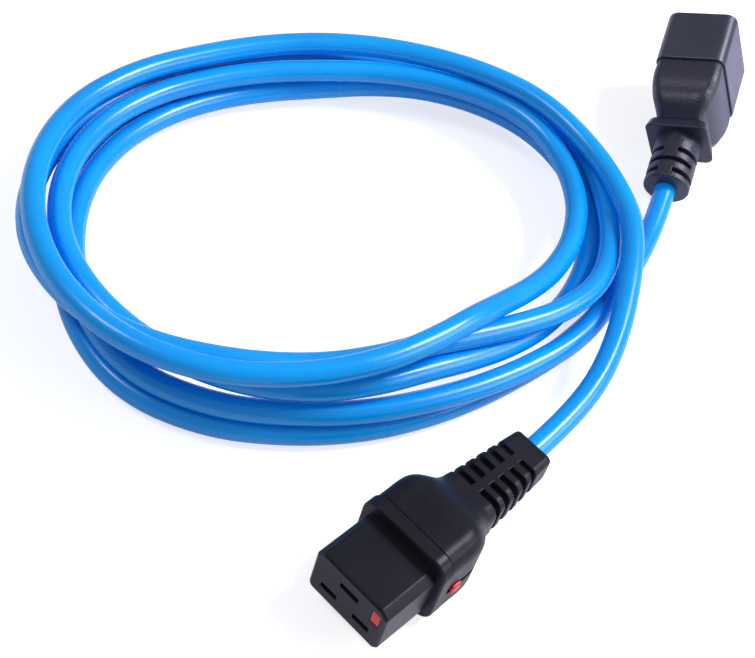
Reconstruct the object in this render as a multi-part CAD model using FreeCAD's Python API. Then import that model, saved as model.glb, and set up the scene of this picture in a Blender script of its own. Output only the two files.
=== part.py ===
import FreeCAD, Part
import math
import os
from FreeCAD import Placement, Rotation
from FreeCAD import Vector as V

# Locking C19 appliance connector on a three metre cord with a C20 plug at the far end.
# +Z up. The connector lies on its flat underside with its mating face toward -Y and the cord
# leaving toward +Y. Lengths along Y are first counted from the mating face (0) backwards and
# every piece is shifted at the end, so that the origin is bottom centre of the connector.

# ------------------------------------------------------------------ driving dimensions (mm)
NOSE_W = 28.2           # engagement face of a C19, across
NOSE_H = 19.8
NOSE_L = 20.3           # engagement depth
NOSE_CUT = 2.6          # bevel on the two upper long corners
NOSE_R = 2.2            # radius on the two lower long corners
RIM_W = 33.2            # front rim that stops the nose
RIM_H = 29.2
RIM_T = 4.5
RIM_R = 4.4
TOTAL_L = 81.0          # face to the end of the strain relief
FIT = 0.3               # running clearance round the sliding lock
PITCH_LN = 13.0         # line to neutral, centre to centre
EARTH_UP = 8.0          # earth above the line and neutral row

SLOT_W = 6.3            # line and neutral slots in the face
SLOT_E = 7.2            # earth slot
SLOT_H = 2.2
FACE_T = 1.6            # wall in front of the contacts
SLEEVE_H = 3.8          # folded brass sleeves
SLEEVE_SIDE = 0.5       # sleeve wider than its slot, each side
BRASS_T = 0.5
SLEEVE_END = 21.5       # back end of the sleeves
CRIMP_D = 3.6           # crimp barrels behind the sleeves
CRIMP_END = 35.0

TIP_W = 3.1             # lock indicator seen in the face
TIP_H = 5.2
TIP_IN = 3.65           # its centre in from the nose's side
TIP_UP = 4.1            # above mid height
TRAVEL = 4.5            # stroke of the lock release

BODY_SIDE = 0.5         # overmould lies this much inside the rim, each side
BODY_TOP = 0.3          # and this much above and below
PARTING = 0.3           # bevels that meet in a fine groove between rim and overmould
ARM_DROP = 2.2          # arm of the lock below mid height
ARM_START, ARM_RUN = 2.6, 5.6   # arm along Y, from the rim's back
BUTTON_AT, BUTTON_L = 2.2, 4.3  # its front end from the rim's back, and its length
BUTTON_UP, BUTTON_DOWN = 1.9, 2.4   # button above and below the arm
SLOT_SPARE = 1.6        # slot longer than the stroke of the arm
CAVE_IN = 0.9           # room behind the nose narrower than the nose, each side
CAVE_DOWN, CAVE_UP = 8.2, 8.4   # below and above mid height
CAVE_L = 11.4           # rooms and carrier, from the rim's back
CARRIER_L = 8.0
SPRING_L = 15.0
NECK_L = 23.5
NECK_W, NECK_H = 17.0, 11.5     # room behind the crimps
CORE_OUT = 4.0          # cores run straight this far behind their crimps
CORE_IN = 2.5           # and lie together this far before the room ends
STRAIGHT = 10.4         # straight front of the overmould, before its shoulder
BOOT_W0, BOOT_H0 = 20.4, 16.2
BOOT_W1, BOOT_H1 = 14.6, 11.4
BOOT_Y0 = 50.5
GROOVE_N = 5
GROOVE_Y0 = 1.8          # first groove behind the start of the strain relief
GROOVE_PITCH = 4.6
GROOVE_T = 2.1
GROOVE_D = 2.0
GROOVE_WALL = 0.9       # least wall between a groove and the cord
SPINE_W = 3.2

CORD_D = 8.0            # 3 x 1.5 mm2 PVC cord
CORE_D = 2.9
CORE_SPREAD = 1.85      # core centres from the cord's axis
SHEATH_IN = 15.0        # sheath reaches this far into the strain relief

PLUG_W, PLUG_H, PLUG_L = 36.0, 27.0, 23.0
PLUG_R = 3.4
CAVITY_W, CAVITY_H = 29.4, 21.2
PLUG_BASE = 2.6
PIN_L, PIN_T = 16.5, 1.9
BLADE_W, BLADE_E = 5.9, 6.8
PLUG_STEP = 0.8         # shroud stands out round the grip
PLUG_BOOT_D = 17.4
PLUG_WEB = 5.3          # webs between the grooves of its strain relief
COLLAR_W, COLLAR_H, COLLAR_T = 21.8, 24.0, 4.6
PLUG_END = 49.0         # shroud root back to the end of the plug's strain relief
PLUG_SHEATH = 8.0
TAIL_RUN = 15.0         # cord straight behind the plug
PLUG_AT = (-71.9, 261.3, 20.9)  # the plug lies on its narrow side, rocked back on its strain relief
PLUG_YAW, PLUG_PITCH, PLUG_ROLL = 28.6, 14.4, -114.8
PLUG_GROOVE_Y0, PLUG_GROOVE_PITCH, PLUG_GROOVE_T = 3.6, 4.8, 1.8    # from its end, pitch, width

COIL_AT = (-110.0, 105.5)
COIL_OUT = (96.0, 115.5)
COIL_IN = (60.0, 72.0)
COIL_H = 30.0
COIL_R = 8.0

MID = RIM_H / 2
TIP_X = NOSE_W / 2 - TIP_IN
ROW_Z = MID - EARTH_UP / 2
EARTH_Z = MID + EARTH_UP / 2
TIP_Z = MID + TIP_UP
BODY_Y = NOSE_L + RIM_T
BODY_W = RIM_W - 2 * BODY_SIDE
BODY_H = RIM_H - 2 * BODY_TOP
SHIFT = V(0, -TOTAL_L / 2, 0)
OUT = "parts"
os.makedirs(OUT, exist_ok=True)


# ------------------------------------------------------------------ helpers
def box(x0, x1, y0, y1, z0, z1):
    return Part.makeBox(x1 - x0, y1 - y0, z1 - z0, V(x0, y0, z0))


def block(w, h, y0, y1, x=0.0, z=0.0):
    return box(x - w / 2, x + w / 2, y0, y1, z - h / 2, z + h / 2)


def rod(d, y0, y1, x=0.0, z=0.0):
    return Part.makeCylinder(d / 2, y1 - y0, V(x, y0, z), V(0, 1, 0))


def rounded(w, h, r, y, z=0.0):
    """Closed rounded rectangle in the plane Y = y, always with the same eight edges."""
    a, b = w / 2, h / 2
    s = r * (1 - math.sqrt(0.5))
    corners = ((a, b, 1, 1), (-a, b, -1, 1), (-a, -b, -1, -1), (a, -b, 1, -1))
    edges = []
    last = None
    first = None
    for i, (cx, cz, sx, sz) in enumerate(corners):
        on_side = V(cx, y, z + cz - sz * r)
        on_flat = V(cx - sx * r, y, z + cz)
        mid = V(cx - sx * s, y, z + cz - sz * s)
        start, end = (on_side, on_flat) if i % 2 == 0 else (on_flat, on_side)
        if last is not None:
            edges.append(Part.LineSegment(last, start).toShape())
        else:
            first = start
        edges.append(Part.Arc(start, mid, end).toShape())
        last = end
    edges.append(Part.LineSegment(last, first).toShape())
    return Part.Wire(edges)


def prism(wire, length):
    return Part.Face(wire).extrude(V(0, length, 0))


def loft(rows, z, ruled=False):
    wires = [rounded(w, h, r, y, z) for y, w, h, r in rows]
    return Part.makeLoft(wires, True, ruled)


def nose_wire(w, h, cut, r, y, z):
    """Face outline: two upper corners bevelled, two lower corners rounded."""
    a, b = w / 2, h / 2
    s = r * (1 - math.sqrt(0.5))
    p = [V(-a + cut, y, z + b), V(a - cut, y, z + b), V(a, y, z + b - cut), V(a, y, z - b + r)]
    q = [V(a - r, y, z - b), V(-a + r, y, z - b), V(-a, y, z - b + r), V(-a, y, z + b - cut)]
    edges = [Part.LineSegment(p[i], p[i + 1]).toShape() for i in range(3)]
    edges.append(Part.Arc(p[3], V(a - s, y, z - b + s), q[0]).toShape())
    edges.append(Part.LineSegment(q[0], q[1]).toShape())
    edges.append(Part.Arc(q[1], V(-a + s, y, z - b + s), q[2]).toShape())
    edges.append(Part.LineSegment(q[2], q[3]).toShape())
    edges.append(Part.LineSegment(q[3], p[0]).toShape())
    return Part.Wire(edges)


def rim_edges(shape, y):
    """Edges that lie wholly in the plane Y = y."""
    keep = []
    for e in shape.Edges:
        if all(abs(v.Point.y - y) < 1e-6 for v in e.Vertexes):
            keep.append(e)
    return keep


def route_wire(points):
    """Straight runs joined by tangent arcs, each as large as its two runs allow."""
    edges = []
    radii = []
    here = points[0]
    for i in range(1, len(points) - 1):
        before = points[i] - points[i - 1]
        after = points[i + 1] - points[i]
        turn = before.getAngle(after)
        reach = 0.45 * min(before.Length, after.Length)
        radii.append(reach / math.tan(turn / 2))
        ua = V(before).normalize()
        ub = V(after).normalize()
        start = points[i] - ua * reach
        end = points[i] + ub * reach
        inward = (ub - ua).normalize()
        depth = radii[-1] * (1 / math.cos(turn / 2) - 1)
        edges.append(Part.LineSegment(here, start).toShape())
        edges.append(Part.Arc(start, points[i] + inward * depth, end).toShape())
        here = end
    edges.append(Part.LineSegment(here, points[-1]).toShape())
    return Part.Wire(edges), radii


def tube(points, d, label):
    """Round solid along the route; its volume is compared with section times length."""
    pts = [V(*p) for p in points]
    wire, radii = route_wire(pts)
    along = (pts[1] - pts[0]).normalize()
    disc = Part.Wire([Part.Circle(pts[0], along, d / 2).toShape()])
    solid = wire.makePipeShell([disc], True, False)
    want = math.pi * d * d / 4 * wire.Length
    print(label, "length", round(wire.Length, 1), "radii", [round(r, 1) for r in radii],
          "volume ratio", round(solid.Volume / want, 4))
    return solid


def clean(shape):
    one = shape.removeSplitter()
    if len(one.Solids) == 1:
        return one.Solids[0]
    return one


def write(name, shape):
    s = clean(shape)
    if not s.isValid() or len(s.Solids) != 1:
        print("CHECK", name, "valid", s.isValid(), "solids", len(s.Solids))
    s.translate(SHIFT)
    s.exportStep(os.path.join(OUT, name + ".step"))


# ------------------------------------------------------------------ connector, hard front part
WAYS = {
    "line": (-PITCH_LN / 2, ROW_Z, SLOT_W),
    "neutral": (PITCH_LN / 2, ROW_Z, SLOT_W),
    "earth": (0.0, EARTH_Z, SLOT_E),
}
PLATE_Y = 3.4
PLATE_T = 0.6
PLATE_W, PLATE_H = 8.6, 6.6


def socket_block():
    nose = prism(nose_wire(NOSE_W, NOSE_H, NOSE_CUT, NOSE_R, 0, MID), BODY_Y)
    nose = nose.makeChamfer(0.5, rim_edges(nose, 0.0))
    rim = prism(rounded(RIM_W, RIM_H, RIM_R, NOSE_L, MID), RIM_T)
    rim = rim.makeFillet(1.3, rim_edges(rim, NOSE_L))
    rim = rim.makeChamfer(PARTING, rim_edges(rim, BODY_Y))
    solid = nose.fuse(rim)
    for x, z, slot in WAYS.values():
        solid = solid.cut(block(slot, SLOT_H, -1, FACE_T + 1, x, z))
        solid = solid.cut(block(slot + 2 * SLEEVE_SIDE, SLEEVE_H, FACE_T, BODY_Y + 1, x, z))
    solid = solid.cut(block(PLATE_W, PLATE_H, FACE_T, PLATE_Y + PLATE_T, 0, EARTH_Z))
    solid = solid.cut(block(TIP_W + FIT, TIP_H + FIT, -1, BODY_Y + 1, TIP_X, TIP_Z))
    return solid


def contact(x, z, slot):
    """Folded sleeve with two pressed-in leaves, a web and a crimp barrel."""
    w = slot + 2 * SLEEVE_SIDE
    front = FACE_T if z == ROW_Z else PLATE_Y + PLATE_T
    body = block(w, SLEEVE_H, front, SLEEVE_END, x, z)
    body = body.cut(block(w - 2 * BRASS_T, SLEEVE_H - 2 * BRASS_T, front - 1, SLEEVE_END - 0.8, x, z))
    gap = SLEEVE_H / 2 - BRASS_T
    for side in (-1, 1):
        leaf = rod(2 * 1.1, -w * 0.3, w * 0.3)
        leaf.rotate(V(0, 0, 0), V(0, 0, 1), 90)
        leaf = leaf.common(box(-w, w, -2, 2, -0.42, 1.2))
        leaf.rotate(V(0, 0, 0), V(0, 1, 0), 0 if side < 0 else 180)
        leaf.translate(V(x, 11.0, z + side * gap))
        body = body.fuse(leaf.common(block(w, 2 * gap, 2, SLEEVE_END, x, z)))
    body = body.cut(block(0.5, SLEEVE_H, front - 1, SLEEVE_END - 4, x, z - SLEEVE_H / 2))
    barrel = rod(CRIMP_D, SLEEVE_END, CRIMP_END, x, z)
    barrel = barrel.cut(rod(CORE_D, SLEEVE_END + 1.5, CRIMP_END + 1, x, z))
    return body.fuse(barrel)


def lock_plate():
    """Spring steel plate that grips the earth pin."""
    plate = block(PLATE_W, PLATE_H, PLATE_Y, PLATE_Y + PLATE_T, 0, EARTH_Z)
    hole = block(SLOT_E, SLOT_H + 0.1, 0, 10, 0, EARTH_Z)
    return plate.cut(hole)


ARM_Z = MID - ARM_DROP
ARM_T = 1.3
ARM_Y0, ARM_Y1 = BODY_Y + ARM_START, BODY_Y + ARM_RUN
BAR_END = ARM_Y1
BUTTON_Y0 = BODY_Y + BUTTON_AT
BUTTON_Y1 = BUTTON_Y0 + BUTTON_L
BUTTON_Z0, BUTTON_Z1 = ARM_Z - BUTTON_DOWN, ARM_Z + BUTTON_UP
BUTTON_X = BODY_W / 2


def lock_slider():
    bar = block(TIP_W, TIP_H, 0.1, BAR_END, TIP_X, TIP_Z)
    link = box(TIP_X - TIP_W / 2, TIP_X + TIP_W / 2, ARM_Y0, ARM_Y1, ARM_Z - ARM_T / 2, TIP_Z)
    arm = box(TIP_X, BUTTON_X + 0.4, ARM_Y0, ARM_Y1, ARM_Z - ARM_T / 2, ARM_Z + ARM_T / 2)
    pad = box(BUTTON_X + 0.08, RIM_W / 2, BUTTON_Y0, BUTTON_Y1, BUTTON_Z0, BUTTON_Z1)
    corners = []
    for e in pad.Edges:
        a, b = e.Vertexes[0].Point, e.Vertexes[1].Point
        if abs(a.x - b.x) > 0.2:
            corners.append(e)
    pad = pad.makeFillet(1.2, corners)
    return bar.fuse([link, arm, pad])


SPRING_Y0 = BAR_END
SPRING_Y1 = BODY_Y + SPRING_L


def slider_spring():
    """Return spring behind the lock slider."""
    wire_d = 0.45
    turns = 6
    r = 1.25
    run = SPRING_Y1 - SPRING_Y0 - wire_d
    helix = Part.makeHelix(run / turns, run, r)
    ring = Part.Wire([Part.Circle(V(r, 0, 0), V(0, 1, 0), wire_d / 2).toShape()])
    coil = Part.Wire(helix.Edges).makePipeShell([ring], True, True)
    coil.rotate(V(0, 0, 0), V(1, 0, 0), -90)
    coil.translate(V(TIP_X, SPRING_Y0 + wire_d / 2, TIP_Z))
    return coil


# ------------------------------------------------------------------ connector, soft rear part
CAVE_W = NOSE_W - 2 * CAVE_IN
CAVE_Z0, CAVE_Z1 = MID - CAVE_DOWN, MID + CAVE_UP
CAVE_END = BODY_Y + CAVE_L
NECK_END = BODY_Y + NECK_L
CARRIER_END = BODY_Y + CARRIER_L
BORE_D = 2 * (CORE_SPREAD + CORE_D / 2)
SHEATH_Y = TOTAL_L - SHEATH_IN


def connector_body():
    w, h = BODY_W, BODY_H
    front = prism(rounded(w, h, 4.6, BODY_Y, MID), STRAIGHT)
    front = front.makeChamfer(PARTING, rim_edges(front, BODY_Y))
    y = BODY_Y + STRAIGHT
    run = BOOT_Y0 - y
    rows = [(0, 0, 4.6), (0.22, 0.03, 4.8), (0.39, 0.16, 5.2), (0.55, 0.50, 5.6), (0.72, 0.86, 5.4), (0.87, 0.98, 4.8),
            (1, 1, 4.4)]
    shoulder = loft([(y + t * run, w + (BOOT_W0 - w) * k, h + (BOOT_H0 - h) * k, r) for t, k, r in rows], MID)
    boot = loft([(BOOT_Y0, BOOT_W0, BOOT_H0, 4.4), (TOTAL_L, BOOT_W1, BOOT_H1, 2.0)], MID, True)
    boot = boot.makeFillet(0.5, rim_edges(boot, TOTAL_L))
    solid = front.fuse([shoulder, boot])

    # ladder of grooves each side of a central spine
    slope_w = (BOOT_W0 - BOOT_W1) / (TOTAL_L - BOOT_Y0)
    slope_h = (BOOT_H0 - BOOT_H1) / (TOTAL_L - BOOT_Y0)
    for i in range(GROOVE_N):
        y0 = BOOT_Y0 + GROOVE_Y0 + i * GROOVE_PITCH
        run = y0 - BOOT_Y0
        core_w = BOOT_W0 - slope_w * run - 2 * GROOVE_D
        core_h = max(BOOT_H0 - slope_h * run - 2 * GROOVE_D, CORD_D + 2 * GROOVE_WALL)
        core = prism(rounded(core_w, core_h, 2.6, y0 - 1, MID), GROOVE_T + 2)
        ring = block(40, 40, y0, y0 + GROOVE_T, 0, MID).cut(core)
        ring = ring.cut(block(SPINE_W, 50, y0 - 1, y0 + GROOVE_T + 1, 0, MID))
        solid = solid.cut(ring)

    # room for the carrier, the crimps and the lock, then the bores for cores and sheath
    solid = solid.cut(box(-CAVE_W / 2, CAVE_W / 2, BODY_Y - 1, CAVE_END, CAVE_Z0, CAVE_Z1))
    solid = solid.cut(block(NECK_W, NECK_H, CAVE_END - 1, NECK_END, 0, MID))
    solid = solid.cut(rod(BORE_D, NECK_END - 1, TOTAL_L + 1, 0, MID))
    solid = solid.cut(rod(CORD_D, SHEATH_Y, TOTAL_L + 1, 0, MID))
    solid = solid.cut(rod(3.4, CAVE_END - 1, SPRING_Y1, TIP_X, TIP_Z))

    # side slot that guides the release, open at the parting line
    slot = box(CAVE_W / 2 - 1, RIM_W, BODY_Y - 1, ARM_Y1 + TRAVEL + SLOT_SPARE,
               ARM_Z - ARM_T / 2 - FIT / 2, ARM_Z + ARM_T / 2 + FIT / 2)
    return solid.cut(slot)


def contact_carrier():
    low = box(-CAVE_W / 2, CAVE_W / 2, BODY_Y, CARRIER_END, CAVE_Z0, ARM_Z - ARM_T / 2 - 0.9)
    edge = TIP_X - TIP_W / 2 - 0.6
    high = box(-CAVE_W / 2, edge, BODY_Y, CARRIER_END, CAVE_Z0, CAVE_Z1)
    solid = low.fuse(high)
    for x, z, slot in WAYS.values():
        solid = solid.cut(rod(CRIMP_D, BODY_Y - 1, CARRIER_END + 1, x, z))
    return solid


def core_spot(x, z, axis_z):
    """Where a core lies inside the cord: earth on top, the others side by side below."""
    if abs(x) < 1:
        return 0.0, axis_z + CORE_SPREAD
    side = math.copysign(1, x)
    return side * CORE_SPREAD * 0.866, axis_z - CORE_SPREAD * 0.5


def core_points(x, z, axis_z, y0, y1, y2, y3, sign=1):
    cx, cz = core_spot(x, z, axis_z)
    return [(x, sign * y0, z), (x, sign * y1, z), (cx, sign * y2, cz), (cx, sign * y3, cz)]


# ------------------------------------------------------------------ plug, in its own frame
PLUG_WAYS = {
    "line": (-PITCH_LN / 2, -EARTH_UP / 2, BLADE_W),
    "neutral": (PITCH_LN / 2, -EARTH_UP / 2, BLADE_W),
    "earth": (0.0, EARTH_UP / 2, BLADE_E),
}
PLUG_CAVE_END = 16.0
PLUG_CRIMP_END = 10.5
PLUG_NECK_END = 24.0
COLLAR_Y = 27.5


def placed(shape):
    turn = Rotation(V(0, 0, 1), PLUG_YAW) * Rotation(V(1, 0, 0), PLUG_PITCH) * Rotation(V(0, 1, 0), PLUG_ROLL)
    s = shape.copy()
    s.Placement = Placement(V(*PLUG_AT), turn).multiply(s.Placement)
    return s


def plug_point(y):
    """A point on the plug's long axis, in the connector's frame."""
    turn = Rotation(V(0, 0, 1), PLUG_YAW) * Rotation(V(1, 0, 0), PLUG_PITCH)
    p = V(*PLUG_AT) + turn.multVec(V(0, y, 0))
    return (p.x, p.y, p.z)


def plug_shroud():
    solid = prism(rounded(PLUG_W, PLUG_H, PLUG_R, 0), PLUG_L)
    solid = solid.makeFillet(0.5, rim_edges(solid, PLUG_L))
    cut = NOSE_CUT + 0.2
    solid = solid.cut(prism(nose_wire(CAVITY_W, CAVITY_H, cut, NOSE_R, PLUG_BASE, 0), PLUG_L))
    for x, z, w in PLUG_WAYS.values():
        solid = solid.cut(block(w, PIN_T, -1, PLUG_BASE + 1, x, z))
    return solid


def plug_pin(x, z, w):
    """Flat blade with a bevelled tip and a crimp barrel behind."""
    tip = PLUG_BASE + PIN_L + (1.0 if z > 0 else 0.0)
    blade = block(w, PIN_T, -1.2, tip, x, z)
    blade = blade.makeChamfer(0.55, rim_edges(blade, tip))
    barrel = rod(CRIMP_D, -PLUG_CRIMP_END, -1.2, x, z)
    barrel = barrel.cut(rod(CORE_D, -PLUG_CRIMP_END - 1, -3.0, x, z))
    return blade.fuse(barrel)


def plug_body():
    w, h = PLUG_W - 2 * PLUG_STEP, PLUG_H - 2 * PLUG_STEP
    run = COLLAR_Y - COLLAR_T + 0.3
    rows = [(0, 0, 0, 3.6), (0.26, 0, -0.4, 4.0), (0.47, 1.2, 0.4, 4.8), (0.69, 4.0, 2.6, 5.2), (0.86, 8.4, 5.4, 5.2),
            (1, 13.9, 6.8, 4.6)]
    grip = loft([(-t * run, w - dw, h - dh, r) for t, dw, dh, r in rows], 0)
    collar = loft([(-COLLAR_Y, COLLAR_W, COLLAR_H, 3.0), (-COLLAR_Y + COLLAR_T, COLLAR_W - 1.4, COLLAR_H - 1.8, 3.2)],
                  0, True)
    boot = rod(PLUG_BOOT_D, -PLUG_END, -COLLAR_Y)
    boot = boot.makeFillet(0.9, rim_edges(boot, -PLUG_END))
    solid = grip.fuse([collar, boot])
    for i in range(3):
        y = -PLUG_END + PLUG_GROOVE_Y0 + i * PLUG_GROOVE_PITCH - PLUG_GROOVE_T / 2
        ring = rod(PLUG_BOOT_D + 4, y, y + PLUG_GROOVE_T).cut(rod(PLUG_BOOT_D - 2 * GROOVE_D, y - 1, y + 3))
        web = block(40, PLUG_WEB, y - 1, y + 3) if i % 2 == 0 else block(PLUG_WEB, 40, y - 1, y + 3)
        solid = solid.cut(ring.cut(web))
    solid = solid.cut(block(20, 14, -PLUG_CAVE_END, 1))
    solid = solid.cut(loft([(-PLUG_CAVE_END, 18, 12.6, 3), (-PLUG_NECK_END, 7.4, 7.4, 3)], 0, True))
    solid = solid.cut(rod(BORE_D, -PLUG_END - 1, -PLUG_CAVE_END + 1))
    return solid.cut(rod(CORD_D, -PLUG_END - 1, -PLUG_END + PLUG_SHEATH))


# ------------------------------------------------------------------ cord
ox, oy = COIL_AT


def coil():
    """Loose oval hank, as one closed solid of its outer shape."""
    def oval(radii):
        e = Part.Ellipse(V(ox, oy, 0), radii[1], radii[0])
        e.AngleXU = math.pi / 2
        face = Part.Face(Part.Wire([e.toShape()]))
        return face.extrude(V(0, 0, COIL_H))
    ring = oval(COIL_OUT).cut(oval(COIL_IN))
    long_edges = [e for e in ring.Edges if e.Length > 200]
    return ring.makeFillet(COIL_R, long_edges)


LEAD = [(0, SHEATH_Y, MID), (0, 102, MID), (-7, 138, 17.5), (-26, 167, 20.5), (-52, 190, 20.5)]
TAIL_END = (-24.5, 137, 4.4)
TAIL = [plug_point(-PLUG_END + PLUG_SHEATH), plug_point(-PLUG_END - TAIL_RUN), (-31, 183.5, 4.4),
        (-25, 160, 4.4), TAIL_END]

hank = coil()

PIECES = {
    "socket_block": socket_block(),
    "contact_carrier": contact_carrier(),
    "lock_plate": lock_plate(),
    "lock_slider": lock_slider(),
    "slider_spring": slider_spring(),
    "connector_body": connector_body(),
    "cord_coil": hank,
    "cord_lead": tube(LEAD, CORD_D, "lead").cut(hank),
    "cord_tail": tube(TAIL, CORD_D, "tail").cut(hank),
    "plug_shroud": placed(plug_shroud()),
    "plug_body": placed(plug_body()),
}
for way, (x, z, slot) in WAYS.items():
    PIECES[way + "_contact"] = contact(x, z, slot)
    route = core_points(x, z, MID, SLEEVE_END + 4, CRIMP_END + CORE_OUT, NECK_END - CORE_IN, SHEATH_Y)
    PIECES[way + "_core"] = tube(route, CORE_D, way + " core")
for way, (x, z, w) in PLUG_WAYS.items():
    PIECES["plug_" + way + "_pin"] = placed(plug_pin(x, z, w))
    route = core_points(x, z, 0.0, 5.0, PLUG_CRIMP_END + CORE_OUT, PLUG_NECK_END - CORE_IN,
                        PLUG_END - PLUG_SHEATH, -1)
    PIECES["plug_" + way + "_core"] = placed(tube(route, CORE_D, "plug " + way + " core"))

for name, shape in PIECES.items():
    write(name, shape)
print(len(PIECES), "pieces written")
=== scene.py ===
import math

import bmesh
import bpy
import numpy as np
from mathutils import Matrix, Vector
from mathutils.geometry import tessellate_polygon


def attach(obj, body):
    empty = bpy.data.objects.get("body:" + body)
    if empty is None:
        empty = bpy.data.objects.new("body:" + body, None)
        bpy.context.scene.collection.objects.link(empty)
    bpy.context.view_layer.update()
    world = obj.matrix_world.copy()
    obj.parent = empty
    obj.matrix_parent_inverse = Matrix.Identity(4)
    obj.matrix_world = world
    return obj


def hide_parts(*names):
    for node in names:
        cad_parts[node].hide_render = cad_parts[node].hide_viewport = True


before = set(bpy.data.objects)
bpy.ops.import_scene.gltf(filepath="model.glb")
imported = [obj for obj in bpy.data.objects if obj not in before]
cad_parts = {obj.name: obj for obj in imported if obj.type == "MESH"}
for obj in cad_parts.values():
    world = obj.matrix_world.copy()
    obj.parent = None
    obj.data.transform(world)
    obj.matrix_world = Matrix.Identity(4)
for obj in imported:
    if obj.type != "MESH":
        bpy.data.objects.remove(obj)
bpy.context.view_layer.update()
MM = 0.001

# ------------------------------------------------------------------ camera
# It looks down on the connector's nose, held a little askew.
EYE = Vector((102.5, -234.1, 386.5)) * MM
LOOK_AT = Vector((-66.4, 39.8, 10.0)) * MM
ROLL = math.radians(17.3)


def make_camera():
    """Looks from EYE to LOOK_AT; its up is the vertical's part across the view, turned by ROLL."""
    data = bpy.data.cameras.new("studio_camera")
    data.sensor_width = 36.0
    data.lens = 71.95
    data.clip_start = 0.01
    data.clip_end = 20.0
    camera = bpy.data.objects.new("studio_camera", data)
    bpy.context.scene.collection.objects.link(camera)
    ahead = (LOOK_AT - EYE).normalized()
    side = ahead.cross(Vector((0, 0, 1))).normalized()
    up = side.cross(ahead)
    right = side * math.cos(ROLL) + up * math.sin(ROLL)
    above = up * math.cos(ROLL) - side * math.sin(ROLL)
    rows = [(right[i], above[i], -ahead[i], EYE[i]) for i in range(3)] + [(0, 0, 0, 1)]
    camera.matrix_world = Matrix(rows)
    bpy.context.scene.camera = camera
    return camera


make_camera()

# ------------------------------------------------------------------ cord
# 3.0 m of 8 mm round cord. It leaves the connector level, rises onto the coil, runs five loose
# turns anticlockwise downwards and slips out along the floor to the plug. Millimetres.
CORD_D = 8.0
FACE = -40.5            # the connector's mating face along Y
MIDDLE = (-100.0, 110.0 + FACE)         # of the coil
# guide points before and after the turns, with Y counted from the mating face
LEAD = [(0, 66, 14.6), (0, 102, 14.6), (-9.5, 137, 17.5)]
TAIL = [(-42.2, 206.9, 4.7), (-52.9, 226.4, 10.4)]
# how far the loose turns lie from the coil's middle, at each hour counted from +X
TURNS = (
    95, 93.5, 89.5, 86.5, 81.5, 81.5, 88.5, 106.8, 115.2, 110, 86.5, 66,
    57.5, 64.5, 76.5, 82, 76, 73, 82, 99, 106.5, 98.5, 84, 68,
    66.5, 73.5, 83, 85, 80, 73.5, 80.5, 93, 102, 105.5, 86.5, 75,
    75.5, 86, 91, 92, 89, 85, 92, 107, 116.8, 103.5, 78, 62.5,
    65, 80.5, 88, 97, 97, 94, 93, 101, 105, 108, 88.7, 75.4,
    73, 84.5, 106, 119)
HOURS = 12              # in a turn
STARTS, ENDS = 0.125, 5.125     # turns
# which stretch lies over which: (from this turn on, rank)
RANKS = ((0.0, 5), (0.97, 4), (1.90, 3), (2.85, 2), (3.64, 4.5), (3.88, 3.5), (4.32, 1))
STEPS = 48              # settling steps in a turn; every second one guides the cord
OWN = 8                 # steps along the cord that are too near to lie on each other
SPREAD = 2.6            # steps over which a hump spreads
ROUNDS, SOFTENINGS = 60, 6      # of the settling, and of the spreading in each


def settled(x, y, rank):
    """Heights of a cord lying on itself: each step lies on the floor or on every lower ranked step
    nearer than one diameter, at the height where two round cords touch; the humps are then spread by
    a bell curve, never below what holds them, until nothing changes."""
    step = np.arange(len(x))
    apart = (x[:, None] - x) ** 2 + (y[:, None] - y) ** 2
    lift = np.sqrt(np.maximum(0, CORD_D ** 2 - apart))
    over = (lift > 0) & (rank[:, None] > rank) & (np.abs(step[:, None] - step) > OWN)
    bell = np.exp(-0.5 * (np.subtract.outer(step, step) / SPREAD) ** 2)
    bell /= bell.sum(1, keepdims=True)
    z = np.full(len(x), CORD_D / 2)
    for _ in range(ROUNDS):
        held = np.maximum(np.where(over, z + lift, 0).max(1), CORD_D / 2)
        hump = held
        for _ in range(SOFTENINGS):
            hump = np.maximum(bell @ hump, held)
        z = (z + hump) / 2
    return z


def coil_points():
    """Guide points of the loose turns: the smooth radius round the coil's middle against the angle,
    with the settled height. The radius grows by one over the cosine of half a step, because the
    cord's curve runs inside its guide points."""
    turn = np.arange(round(STARTS * STEPS), round(ENDS * STEPS) + 1) / STEPS
    radius = smooth(turn * HOURS, np.arange(len(TURNS)), TURNS)
    angle = turn * 2 * np.pi
    starts, ranks = np.array(RANKS).T
    rank = ranks[np.searchsorted(starts, turn, side="right") - 1]
    z = settled(radius * np.cos(angle), radius * np.sin(angle), rank)
    radius = radius / math.cos(2 * math.pi / STEPS)
    return np.stack([MIDDLE[0] + radius * np.cos(angle), MIDDLE[1] + radius * np.sin(angle), z], 1)[::2]


def make_cord():
    """One round cord along a quadratic curve through the lead, the turns and the tail."""
    lead = np.array(LEAD, float) + (0, FACE, 0)
    tail = np.array(TAIL, float) + (0, FACE, 0)
    points = np.concatenate([lead, coil_points(), tail]) * MM
    data = bpy.data.curves.new("blue_cord", "CURVE")
    data.dimensions = "3D"
    data.bevel_depth = CORD_D / 2 * MM
    data.bevel_resolution = 6
    data.resolution_u = 8
    data.use_fill_caps = True
    spline = data.splines.new("NURBS")
    spline.points.add(len(points) - 1)
    spline.points.foreach_set("co", np.c_[points, np.ones(len(points))].ravel())
    spline.order_u = 3
    spline.use_endpoint_u = True
    cord = bpy.data.objects.new("blue_cord", data)
    bpy.context.scene.collection.objects.link(cord)
    return cord


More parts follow.
